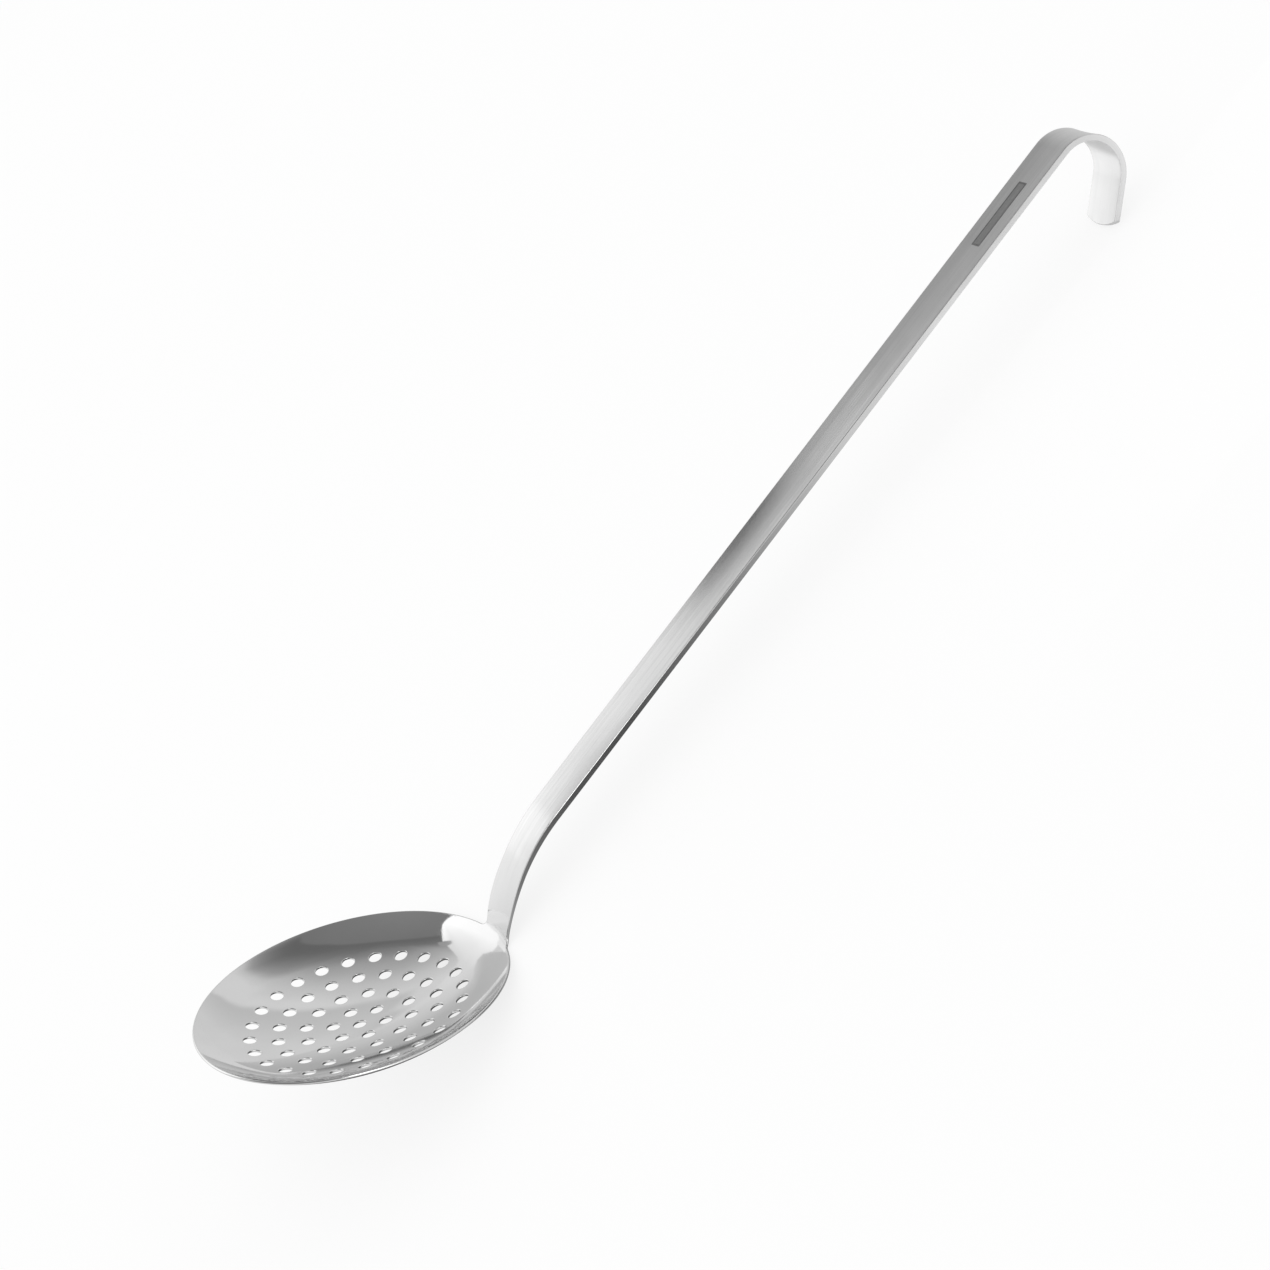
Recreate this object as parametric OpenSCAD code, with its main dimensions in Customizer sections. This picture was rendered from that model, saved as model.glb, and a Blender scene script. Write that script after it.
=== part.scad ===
// One-piece kitchen skimmer pressed from one strip of stainless steel.
// A round perforated bowl thickens at its neck into a flat handle, which ends in a hanging hook.
// The skimmer lies face up as it comes to rest: on the outside of its bowl and on the tip of its hook.
// The origin is on the surface that it lies on, below the middle of its length. +X points to the hook.

/* [Bowl] */
// Diameter of the bowl over its rim
bowl_d = 120; // [105:1:140]
// Radius of the shallow round bottom, at the middle of the sheet
dish_r = 161; // [145:1:185]
// Radius at which the wall turns up around the bottom, at the middle of the sheet
wall_r = 46; // [40:1:70]
// Thickness of the bowl's sheet
sheet_t = 1; // [0.8:0.1:1.5]

/* [Holes] */
// Diameter of a drain hole
hole_d = 5; // [3:0.5:6]
// Rings of holes around the middle one, with six more holes in each ring than in the one inside it
hole_rings = 4; // [1:1:5]
// Distance from the outermost ring of holes to the start of the wall
hole_margin = 4.5; // [3.5:0.5:8]

/* [Neck] */
// Radius of the small turn from the rim up into the neck, at the front face
turn_r = 4; // [3:0.5:8]
// Angle of the neck where it leaves the rim, above the rim's plane
neck_lean = 73.4; // [65:0.1:80]
// Radius of the long bend from the neck into the handle, at the front face
neck_bend_r = 78.4; // [50:0.1:120]
// Radius of the rounds between the neck's edges and the rim
neck_fillet_r = 3; // [2:0.5:4]

/* [Handle] */
// Width of the handle
handle_w = 19.5; // [16:0.5:26]
// Thickness of the handle at its edges
handle_t = 2.6; // [2:0.1:3.5]
// Angle of the handle above the rim's plane
handle_rise = 35.7; // [25:0.1:45]
// Length of the straight handle between the neck and the hook
handle_l = 313; // [180:1:360]
// Depth of the front face's shallow hollow, between its edges
face_hollow = 0.3; // [0.1:0.05:0.5]
// Radius of the strip's rounded edges
edge_r = 0.6; // [0.3:0.1:0.9]

/* [Hook] */
// Inner radius of the hook
hook_r = 14; // [10:0.5:20]
// Angle through which the hook turns
hook_turn = 145; // [125:1:160]
// Length of the straight tail after the turn, to the middle of its rounded tip
tail_l = 18.4; // [12:0.2:30]
// Radius of the tip's outline, seen square to the tail
tip_r = 21; // [14:0.5:30]

/* [Hidden] */
$fn = 180;
STEEL = [0.78, 0.79, 0.8];

// How far a cutter or a mask runs past what it cuts
past = 2;

// Rounds a length to a thousandth, so that two shapes which share a face agree on its corners
function snap(v) = round(v * 1000) / 1000;

// The bottom and the wall meet where both arcs face this way, sideways and down (sides 7, 24 and 25)
lean = [0.28, 0.96];

// The bowl's profile, with its rim's plane at height 0
rim_d = 0.9 * sheet_t;
rim_r = (bowl_d - rim_d) / 2;
wall_start = lean[0] * dish_r;
dish_angle = asin(lean[0]);
wall_angle = asin((rim_r - lean[0] * (dish_r - wall_r)) / wall_r);
wall_c = [lean[0] * (dish_r - wall_r), snap(wall_r * cos(wall_angle))];
dish_c = [0, wall_c[1] + lean[1] * (dish_r - wall_r)];

// The pattern of drain holes
ring_pitch = (wall_start - hole_margin) / hole_rings;

// Directions in the plane of symmetry: along the strip, and out of its front face
function along(a) = [cos(a), sin(a)];
function facing(a) = [-sin(a), cos(a)];

// The neck leaves the wall this far from the wall's end, a little thicker than the sheet
neck_leave = 0.3;
neck_root_t = sheet_t + 0.1;

// The front face of the strip at its edges, from the wall to the tip of the hook
leave_angle = wall_angle - neck_leave / wall_r * 180 / PI;
turn_c = wall_c - facing(leave_angle) * (wall_r - neck_root_t / 2 - turn_r);
bend_c = turn_c - facing(neck_lean) * (turn_r + neck_bend_r);
handle_start = bend_c + facing(handle_rise) * neck_bend_r;
handle_end = handle_start + along(handle_rise) * handle_l;
hook_outer_r = hook_r + handle_t;
hook_c = handle_end - facing(handle_rise) * hook_outer_r;
tail_angle = handle_rise - hook_turn;
tail_start = hook_c + facing(tail_angle) * hook_outer_r;

// The tail is this much slimmer on each side than the turn, and starts this far inside the turn's end
tail_slim = 0.02;
tail_overlap = 0.2;
tip = tail_start + along(tail_angle) * tail_l + facing(tail_angle) * (-face_hollow - tail_slim);

// How the skimmer lies: the ground line touches the wall's outside and the tip
outer_wall_r = wall_r + sheet_t / 2;
to_tip = tip - wall_c;
rest_angle = atan2(to_tip[1], to_tip[0]) + asin(outer_wall_r / norm(to_tip));
ground = facing(rest_angle) * wall_c - outer_wall_r;
far_end = -rim_r * cos(rest_angle) - sheet_t / 2 * sin(rest_angle + wall_angle);
face_edge = -face_hollow * (1 - pow(1 - 2 * edge_r / handle_w, 2));
hook_end = along(rest_angle) * hook_c + hook_outer_r + face_edge;
mid_length = (far_end + hook_end) / 2;

// Steps of the strip's outline and of the neck's bends
face_steps = 8;
corner_steps = 3;
turn_steps = 6;
bend_steps = 16;

// How far inside the wall the neck starts, and its thickness there as a share of the sheet
root_angle = 2;
root_share = 0.4;
// Length over which the neck loses the curve of the rim
flatten_l = 30;

// Points of a corner round about [y, n], from angle a to angle b
function corner(y, n, r, a, b) =
    [for (i = [0:corner_steps]) let (q = a + (b - a) * i / corner_steps) [y + r * cos(q), n + r * sin(q)]];

// The strip's cross-section as [across, out of the front face], for a half width, thickness, hollow and edge radius
function strip_section(hw, t, hollow, r) =
    let (
        inner = hw - r,
        shoulder = -hollow * (1 - pow(inner / hw, 2)),
        front = [for (i = [1:face_steps - 1])
            let (y = inner * (2 * i / face_steps - 1)) [y, -hollow * (1 - pow(y / hw, 2))]],
        back = [for (i = [1:face_steps - 1]) [inner * (1 - 2 * i / face_steps), -t]],
        outline = concat(
            corner(-inner, shoulder - r, r, 180, 90),
            front,
            corner(inner, shoulder - r, r, 90, 0),
            corner(inner, r - t, r, 0, -90),
            back,
            corner(-inner, r - t, r, -90, -180)
        )
    )
    [for (q = outline) [snap(q[0]), snap(q[1])]];

handle_section = strip_section(handle_w / 2, handle_t, face_hollow, edge_r);
tail_section = strip_section(handle_w / 2 - tail_slim, handle_t - 2 * tail_slim, face_hollow, edge_r);

// Half width of the neck at a distance from the rim, with the rounds into the rim
function neck_half_w(s) =
    let (left = max(0, neck_fillet_r - s))
    handle_w / 2 + neck_fillet_r - sqrt(pow(neck_fillet_r, 2) - pow(left, 2));

// A cross-section of the neck, in the handle's own directions: front point, angle, distance from the rim, thickness
function neck_ring(p, a, s, t) =
    let (
        curve = pow(1 - min(1, s / flatten_l), 2),
        outline = strip_section(neck_half_w(s), t, face_hollow * (1 - curve), min(edge_r, 0.45 * t))
    )
    [for (q = outline)
        let (
            v = p + facing(a) * q[1],
            around = q[0] / v[0] * 180 / PI,
            across = q[0] * (1 - curve) + v[0] * sin(around) * curve,
            w = [v[0] * (1 - curve * (1 - cos(around))), v[1]] - handle_start
        )
        [across, facing(handle_rise) * w, along(handle_rise) * w]
    ];

turn_l = turn_r * (neck_lean - leave_angle) * PI / 180;
neck_l = turn_l + neck_bend_r * (neck_lean - handle_rise) * PI / 180;

// Thickness of the neck at a distance from the rim
function neck_t(s) = handle_t - (handle_t - neck_root_t) * pow(1 - s / neck_l, 1.5);

// The neck's cross-sections, from inside the wall to the start of the handle
function neck_rings() =
    concat(
        [let (a = leave_angle - root_angle, t = sheet_t * root_share)
            neck_ring(wall_c - facing(a) * (wall_r - t / 2), a, 0, t)],
        [for (i = [0:turn_steps])
            let (u = i / turn_steps, a = leave_angle + (neck_lean - leave_angle) * u, s = turn_l * u)
            neck_ring(turn_c - facing(a) * turn_r, a, s, neck_t(s))],
        [for (i = [1:bend_steps - 1])
            let (u = i / bend_steps, a = neck_lean + (handle_rise - neck_lean) * u, s = turn_l + (neck_l - turn_l) * u)
            neck_ring(bend_c + facing(a) * neck_bend_r, a, s, neck_t(s))],
        [[for (q = handle_section) [q[0], q[1], 0]]]
    );

// The bowl's sheet over a radius, between two lines out of the arc's centre
module sheet_arc(centre, r, from, to) {
    translate(centre) {
        intersection() {
            difference() {
                circle(r + sheet_t / 2);
                circle(r - sheet_t / 2);
            }
            polygon([[0, 0], 2 * r * from, 2 * r * to]);
        }
    }
}

module bowl_profile() {
    meet = [lean[0], -lean[1]];
    sheet_arc(dish_c, dish_r, [0, -1], meet);
    sheet_arc(wall_c, wall_r, meet, -facing(wall_angle));
    translate([rim_r, 0]) {
        circle(d = rim_d);
    }
}

// A drain hole, square to the sheet at a distance r from the middle
module drain_hole(r, around) {
    translate([0, 0, dish_c[1]]) {
        rotate([0, -asin(r / dish_r), around]) {
            translate([0, 0, -dish_r - past]) {
                cylinder(h = 2 * past, d = hole_d);
            }
        }
    }
}

module drain_holes() {
    drain_hole(0, 0);
    for (ring = [1:hole_rings]) {
        for (i = [0:6 * ring - 1]) {
            drain_hole(ring * ring_pitch, 90 + 60 * i / ring);
        }
    }
}

module bowl() {
    difference() {
        rotate_extrude() {
            bowl_profile();
        }
        drain_holes();
    }
}

module neck() {
    rings = neck_rings();
    n = len(rings[0]);
    last = len(rings) - 1;
    points = [for (ring = rings) for (p = ring) p];
    sides = [for (i = [0:last - 1]) for (j = [0:n - 1])
        let (k = (j + 1) % n)
        each [
            [i * n + j, i * n + k, (i + 1) * n + k],
            [i * n + j, (i + 1) * n + k, (i + 1) * n + j]
        ]
    ];
    // Each end is cut into triangles from its front to its back, because the front is hollow
    ends = [for (j = [0:n / 2 - 2])
        let (a = j, b = j + 1, c = n - 2 - j, d = n - 1 - j, e = last * n)
        each [
            [c, b, a],
            [d, c, a],
            [e + a, e + b, e + c],
            [e + a, e + c, e + d]
        ]
    ];
    polyhedron(points, concat(sides, ends));
}

// The outline of the tail, seen square to its face
module tail_outline() {
    reach = handle_w + past;
    translate([-reach / 2, -past]) {
        square([reach, max(0, tail_l - tip_r) + past]);
    }
    translate([0, tail_l - tip_r]) {
        circle(tip_r);
    }
}

module tail() {
    intersection() {
        translate([0, -tail_slim, -tail_overlap]) {
            linear_extrude(tail_l + tail_overlap) {
                polygon(tail_section);
            }
        }
        translate([0, 2 * handle_t, 0]) {
            rotate([90, 0, 0]) {
                linear_extrude(4 * handle_t) {
                    tail_outline();
                }
            }
        }
    }
}

// The hook's turn about +Z, and the tail at its end
module hook() {
    rotate_extrude(angle = hook_turn) {
        polygon([for (q = handle_section) [hook_outer_r + q[1], q[0]]]);
    }
    rotate([0, 0, hook_turn]) {
        translate([hook_outer_r, 0, 0]) {
            rotate([0, -90, -90]) {
                tail();
            }
        }
    }
}

// The strip from the neck to the tip, with the handle along +Z and its front face to +Y
module strip() {
    neck();
    linear_extrude(handle_l) {
        polygon(handle_section);
    }
    translate([0, -hook_outer_r, handle_l]) {
        rotate([90, 0, 90]) {
            hook();
        }
    }
}

module skimmer() {
    color(STEEL) {
        translate([-mid_length, 0, -ground]) {
            rotate([0, rest_angle, 0]) {
                bowl();
                translate([handle_start[0], 0, handle_start[1]]) {
                    rotate([0, 90 - handle_rise, 0]) {
                        rotate([0, 0, 90]) {
                            strip();
                        }
                    }
                }
            }
        }
    }
}

skimmer();
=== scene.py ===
"""A one-piece skimmer: polished perforated bowl, satin handle and hanging hook, face up in a pale studio.

The skimmer's own lengths are in millimetres, as a maker writes them, and turn to metres where its mesh is made.
The studio's lengths are in metres, and a brightness of 1 is white.
"""

import logging
import math
from dataclasses import dataclass, field
from enum import Enum, IntEnum
from typing import Dict, List, Sequence, Tuple

import bpy
import numpy as np
from mathutils import Matrix, Vector
from mathutils.geometry import delaunay_2d_cdt


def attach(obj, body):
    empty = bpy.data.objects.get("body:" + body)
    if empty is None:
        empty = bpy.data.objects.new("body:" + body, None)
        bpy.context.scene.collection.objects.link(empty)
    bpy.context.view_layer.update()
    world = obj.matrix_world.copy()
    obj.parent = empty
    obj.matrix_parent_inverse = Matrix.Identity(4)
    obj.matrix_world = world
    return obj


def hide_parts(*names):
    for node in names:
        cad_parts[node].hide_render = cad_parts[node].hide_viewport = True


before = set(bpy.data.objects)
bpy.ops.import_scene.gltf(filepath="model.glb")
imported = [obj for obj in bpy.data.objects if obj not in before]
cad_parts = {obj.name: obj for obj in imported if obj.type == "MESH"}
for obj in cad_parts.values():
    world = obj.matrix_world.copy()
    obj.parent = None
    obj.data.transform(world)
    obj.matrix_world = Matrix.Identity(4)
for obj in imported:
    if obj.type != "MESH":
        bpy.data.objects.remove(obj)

LOG = logging.getLogger("skimmer")
MM = 0.001
PER_METRE = 1000.0
MICRON = 1e-6
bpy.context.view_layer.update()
NODE = "skimmer"
FLAT_MAP = "flat"
EDGE_GAP = "edge_gap"
SHADE = "shade"

Pair = Tuple[float, float]
Triple = Tuple[float, float, float]
Polygon = Tuple[int, ...]


@dataclass(frozen=True)
class Arc:
    """One stretch of the strip's side view: its curvature, positive where it turns up, and its length."""

    bend: float
    length: float


class Side(IntEnum):
    """The face of the sheet that a ring of a rounded edge belongs to."""

    FRONT = 1
    BACK = -1


@dataclass(frozen=True)
class RoundStep:
    """One ring of a rounded edge: its turn in radians, its side, and its inset as a share of the radius."""

    turn: float
    side: Side
    inset: float


@dataclass(frozen=True)
class FrontLine:
    """The front face in the plane of symmetry, from the bowl's middle to the tip, by arc length."""

    arcs: Sequence[Arc]
    start_z: float
    before_rim: float

    def at(self, s: np.ndarray) -> Tuple[np.ndarray, np.ndarray, np.ndarray]:
        """Place and direction at arc lengths.

        Args:
            s: arc lengths from the rim, negative inside the bowl.

        Returns:
            Distance from the bowl's axis, height over the rim's plane, and angle in radians.
        """
        left = np.asarray(s, float) + self.before_rim
        x, z, angle = (np.zeros_like(left) for _ in range(3))
        px, pz, pa, passed = 0.0, self.start_z, 0.0, 0.0
        for arc in self.arcs:
            here = left >= passed - 1e-12
            ax, az, aa = self._run(arc.bend, px, pz, pa, left - passed)
            x, z, angle = np.where(here, ax, x), np.where(here, az, z), np.where(here, aa, angle)
            px, pz, pa = (float(v) for v in self._run(arc.bend, px, pz, pa, np.asarray(arc.length)))
            passed += arc.length
        return x, z, angle

    @staticmethod
    def _run(bend: float, x: float, z: float, angle: float, run: np.ndarray) -> Tuple[np.ndarray, ...]:
        """Goes along one arc from its start.

        Args:
            bend: curvature of the arc.
            x: distance from the bowl's axis at the arc's start.
            z: height at the arc's start.
            angle: angle at the arc's start, in radians.
            run: arc lengths from the arc's start.

        Returns:
            Distance from the axis, height and angle after each run.
        """
        now = angle + run * bend
        if bend == 0:
            return x + run * math.cos(angle), z + run * math.sin(angle), now
        return x + (np.sin(now) - math.sin(angle)) / bend, z - (np.cos(now) - math.cos(angle)) / bend, now


@dataclass
class Rows:
    """Points of the skin: places over the rim's plane, directions out of the steel, and places laid flat."""

    points: np.ndarray
    normals: np.ndarray
    flat: np.ndarray


@dataclass(frozen=True)
class Net:
    """How densely points are set over the skin, and how far they stay from its edges.

    The row steps are those of the turn, the neck, the handle, the hook and the tail. The root rows lie on the
    bowl's wall before the neck: each is an arc length and a half width.
    """

    round_steps: int = 5
    hole_points: int = 48
    rim_points: int = 380
    fillet_points: int = 13
    corner_points: int = 7
    tip_points: int = 9
    columns: int = 11
    lattice: float = 1.7
    row_steps: Tuple[float, ...] = (0.35, 1.4, 2.9, 0.7, 1.3)
    turn_gap: float = 0.4
    tail_gap: float = 1.4
    tip_gap: float = 1.5
    fillet_gap: float = 0.1
    corner_gap: float = 0.2
    rim_gap: float = 1.5
    hole_gap: float = 1.15
    hole_ring: float = 0.55
    root_gap: Pair = (5.5, 3.4)
    rim_ring: float = 0.85
    rim_ring_points: int = 300
    root_rows: Sequence[Pair] = (
        (-4.4, 12.7), (-3.4, 12.7), (-2.5, 12.7), (-1.7, 12.7), (-1.0, 12.7), (-0.5, 12.0), (-0.05, 10.9),
    )
    root_columns: int = 17
    probe: float = 0.02
    join_gap: float = 1e-7


@dataclass
class SkimmerSheet:
    """The pressed strip: bowl, neck, handle, hook and tail as one skin with rounded edges."""

    bowl_d: float = 120.0
    dish_r: float = 161.0
    wall_r: float = 46.0
    lean: Pair = (0.28, 0.96)
    sheet_t: float = 1.0
    rim_round: float = 0.9
    rim_s: float = 0.45
    hole_d: float = 5.0
    hole_rings: int = 4
    hole_margin: float = 4.5
    hole_edge: float = 0.3
    turn_r: float = 3.6
    neck_lean: float = 73.4
    neck_bend_r: float = 78.4
    neck_fillet_r: float = 3.0
    flatten_l: float = 30.0
    thin_power: float = 1.5
    handle_w: float = 19.5
    handle_t: float = 2.6
    handle_rise: float = 35.7
    handle_l: float = 313.0
    face_hollow: float = 0.3
    edge_r: float = 0.4
    edge_share: float = 0.48
    hook_r: float = 14.0
    hook_turn: float = 145.0
    tail_l: float = 18.4
    tip_r: float = 21.0
    tip_corner_r: float = 1.2
    rest_angle: float = 32.1596
    rest_shift: Pair = (-189.196, 32.3282)
    satin_from: float = 60.5
    net: Net = Net()
    front_dish_r: float = field(init=False)
    front_wall_r: float = field(init=False)
    rim_r: float = field(init=False)
    wall_x: float = field(init=False)
    dish_angle: float = field(init=False)
    wall_angle: float = field(init=False)
    dish_z: float = field(init=False)
    wall_l: float = field(init=False)
    turn_l: float = field(init=False)
    neck_l: float = field(init=False)
    hook_s: float = field(init=False)
    tail_s: float = field(init=False)
    tip_s: float = field(init=False)
    line: FrontLine = field(init=False)
    wall: FrontLine = field(init=False)
    front_rim: float = field(init=False)

    def __post_init__(self) -> None:
        """Works out the side view from the sizes."""
        half = self.sheet_t / 2
        self.front_dish_r = self.dish_r - half
        self.front_wall_r = self.wall_r - half
        self.rim_r = (self.bowl_d - self.rim_round * self.sheet_t) / 2
        self.wall_x = self.lean[0] * (self.dish_r - self.wall_r)
        self.dish_angle = math.asin(self.lean[0])
        self.wall_angle = math.asin((self.rim_r - self.wall_x) / self.wall_r)
        self.dish_z = self.wall_r * math.cos(self.wall_angle) + self.lean[1] * (self.dish_r - self.wall_r)
        lean_up, rise = math.radians(self.neck_lean), math.radians(self.handle_rise)
        dish_l = self.front_dish_r * self.dish_angle
        self.wall_l = self.front_wall_r * (self.wall_angle - self.dish_angle)
        self.turn_l = self.turn_r * (lean_up - self.wall_angle)
        self.neck_l = self.turn_l + self.neck_bend_r * (lean_up - rise)
        outer = self.hook_r + self.handle_t
        hook_l = outer * math.radians(self.hook_turn)
        self.hook_s = self.neck_l + self.handle_l
        self.tail_s = self.hook_s + hook_l
        self.tip_s = self.tail_s + self.tail_l
        arcs = [
            Arc(1 / self.front_dish_r, dish_l),
            Arc(1 / self.front_wall_r, self.wall_l),
            Arc(1 / self.turn_r, self.turn_l),
            Arc(-1 / self.neck_bend_r, self.neck_l - self.turn_l),
            Arc(0.0, self.handle_l),
            Arc(-1 / outer, hook_l),
            Arc(0.0, self.tail_l),
        ]
        start_z = self.dish_z - self.front_dish_r
        longer_wall = [arcs[0], Arc(1 / self.front_wall_r, 2 * self.wall_l)]
        self.line = FrontLine(arcs, start_z, dish_l + self.wall_l)
        self.wall = FrontLine(longer_wall, start_z, dish_l + self.wall_l)
        self.front_rim = float(self.line.at(np.zeros(1))[0][0])

    def thickness(self, s: np.ndarray) -> np.ndarray:
        """Thickness of the strip at arc lengths s."""
        left = 1 - np.clip(s / self.neck_l, 0, 1)
        return self.handle_t - (self.handle_t - self.sheet_t) * left**self.thin_power

    def edge(self, s: np.ndarray) -> np.ndarray:
        """Radius of the rounded edges at arc lengths s."""
        return np.minimum(self.edge_r, self.edge_share * self.thickness(s))

    def rim_curve(self, s: np.ndarray) -> np.ndarray:
        """Share of the rim's curve that the strip still has at arc lengths s."""
        u = np.clip((s - self.rim_s) / self.flatten_l, 0, 1)
        return 1 - u * u * (3 - 2 * u)

    def half_width(self, s: np.ndarray) -> np.ndarray:
        """Half width of the strip at arc lengths s past the rim, with the rounds into the rim."""
        left = np.clip(self.neck_fillet_r + self.rim_s - s, 0, self.neck_fillet_r)
        return self.handle_w / 2 + self.neck_fillet_r - np.sqrt(self.neck_fillet_r**2 - left**2)

    def hollow(self, s: np.ndarray, q: np.ndarray) -> np.ndarray:
        """Height of the front face over its edges, which is below 0 where the face is hollow."""
        across = np.clip(np.abs(q) / self.half_width(np.maximum(s, 0)), 0, 1)
        return np.where(s > 0, -self.face_hollow * (1 - self.rim_curve(s)) * (1 - across**2), 0)

    def side_view(self, s: np.ndarray, q: np.ndarray) -> Tuple[np.ndarray, ...]:
        """The front face's side view: the strip's own, and beside the neck's root the bowl's wall going on.

        Args:
            s: arc lengths along the front face.
            q: distances across.

        Returns:
            Distance from the bowl's axis, height over the rim's plane, and angle in radians.
        """
        beside = np.clip((np.abs(q) - self.handle_w / 2) / self.neck_fillet_r, 0, 1) * (s < 2 * self.rim_s)
        return tuple(a * (1 - beside) + b * beside for a, b in zip(self.line.at(s), self.wall.at(s)))

    def place(self, s: np.ndarray, q: np.ndarray, n: np.ndarray) -> np.ndarray:
        """Places points of the sheet over the rim's plane.

        Args:
            s: arc lengths along the front face, 0 at the rim.
            q: distances across, measured round the rim.
            n: heights out of the front face, negative inside the sheet.

        Returns:
            An array of points, one row each.
        """
        x, z, a = self.side_view(s, q)
        vx, vz = x - np.sin(a) * n, z + np.cos(a) * n
        curve, around = self.rim_curve(s), q / self.rim_r
        across = q * (1 - curve) + vx * np.sin(around) * curve
        return np.stack([vx * (1 - curve * (1 - np.cos(around))), across, vz], -1)

    def on_face(self, s: np.ndarray, q: np.ndarray) -> np.ndarray:
        """Places points of the front face over the rim's plane."""
        return self.place(s, q, self.hollow(s, q))

    def lay_flat(self, s: np.ndarray, q: np.ndarray) -> np.ndarray:
        """Places points of the sheet in a plane, as before pressing.

        Args:
            s: arc lengths along the front face.
            q: distances across.

        Returns:
            An array of places, one row each.
        """
        x = np.where(s > 0, self.front_rim + s, self.line.at(np.minimum(s, 0))[0])
        curve, around = self.rim_curve(s), q / self.rim_r
        across = q * (1 - curve) + x * np.sin(around) * curve
        return np.stack([x * (1 - curve * (1 - np.cos(around))), across], -1)

    def from_flat(self, flat: np.ndarray) -> Tuple[np.ndarray, np.ndarray]:
        """Finds points laid flat inside the rim again on the sheet.

        Args:
            flat: the places, one row each.

        Returns:
            Their arc lengths and their distances across.
        """
        r = np.hypot(flat[:, 0], flat[:, 1])
        in_dish = r <= self.front_dish_r * self.lean[0]
        dish_angle = np.arcsin(np.clip(r / self.front_dish_r, 0, 1))
        dish = self.front_dish_r * (dish_angle - self.dish_angle) - self.wall_l
        wall = np.arcsin(np.clip((r - self.wall_x) / self.front_wall_r, -1, 1)) - self.wall_angle
        s = np.where(in_dish, dish, self.front_wall_r * wall)
        return s, np.arctan2(flat[:, 1], flat[:, 0]) * self.rim_r

    def directions(self, s: np.ndarray, q: np.ndarray) -> Tuple[np.ndarray, np.ndarray, np.ndarray]:
        """Unit directions of the front face.

        Args:
            s: arc lengths along the front face.
            q: distances across.

        Returns:
            The directions along the strip, across it and out of the front face.
        """
        step = self.net.probe
        along = unit(self.on_face(s + step, q) - self.on_face(s - step, q))
        across = unit(self.on_face(s, q + step) - self.on_face(s, q - step))
        out = unit(np.cross(along, across))
        a, around = self.side_view(s, q)[2][:, None], (q / self.rim_r)[:, None]
        up = np.array([[0.0, 0.0, 1.0]])
        radial = np.hstack([np.cos(around), np.sin(around), 0 * around])
        tangent = np.hstack([-np.sin(around), np.cos(around), 0 * around])
        bowl = (s <= 0)[:, None]
        return (
            np.where(bowl, radial * np.cos(a) + up * np.sin(a), along),
            np.where(bowl, tangent, across),
            np.where(bowl, up * np.cos(a) - radial * np.sin(a), out),
        )

    def profile(self) -> List[RoundStep]:
        """The rounded edge.

        Returns:
            Its rings from the front to the back.
        """
        turns = [math.pi / 2 * i / self.net.round_steps for i in range(self.net.round_steps + 1)]
        front = [RoundStep(turn, Side.FRONT, 1 - math.sin(turn)) for turn in turns]
        return front + [RoundStep(turn, Side.BACK, 1 - math.sin(turn)) for turn in reversed(turns)]

    def row_places(self) -> List[float]:
        """The rows of points across the strip.

        Returns:
            Their arc lengths.
        """
        turn, neck, handle, hook, tail = self.net.row_steps
        spans = (
            (turn, self.turn_l + self.net.turn_gap, turn),
            (self.turn_l + 2 * self.net.turn_gap, self.neck_l, neck),
            (self.neck_l, self.hook_s, handle),
            (self.hook_s, self.tail_s, hook),
            (self.tail_s, self.tip_s - self.net.tail_gap, tail),
        )
        places: List[float] = []
        for low, high, step in spans:
            count = max(1, round((high - low) / step))
            places += [low + (high - low) * i / count for i in range(count)]
        return places

    def outer_edge(self) -> np.ndarray:
        """The outer edge, anticlockwise as laid flat.

        Returns:
            Rows of arc length, distance across, and the outward direction's shares of both.
        """
        net, f, hw, c = self.net, self.neck_fillet_r, self.handle_w / 2, self.tip_corner_r
        first = (hw + f) / self.rim_r
        phi = np.linspace(first, 2 * math.pi - first, net.rim_points)
        rim = np.stack([self.rim_s + 0 * phi, wrapped(phi) * self.rim_r, 1 + 0 * phi, 0 * phi], -1)
        fillet = arc_edge(self.rim_s + f, hw + f, f, np.radians(np.linspace(180, 270, net.fillet_points))[1:])
        fillet = fillet * [1, 1, -1, -1]
        tip_s = self.tip_s - self.tip_r
        corner_s = tip_s + math.sqrt((self.tip_r - c) ** 2 - (hw - c) ** 2)
        low, high = f + self.rim_s + net.fillet_gap, corner_s - net.corner_gap
        rows = np.array([s for s in self.row_places() if low < s < high])
        side = np.stack([rows, hw + 0 * rows, 0 * rows, 1 + 0 * rows], -1)
        end = math.atan2(hw - c, corner_s - tip_s)
        corner = arc_edge(corner_s, hw - c, c, np.linspace(math.pi / 2, end, net.corner_points))
        tip = arc_edge(tip_s, 0.0, self.tip_r, np.linspace(end, 0, net.tip_points)[1:])
        half = np.vstack([fillet, side, corner, tip])
        return np.vstack([rim, half * [1, -1, 1, -1], half[::-1][1:]])

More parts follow.
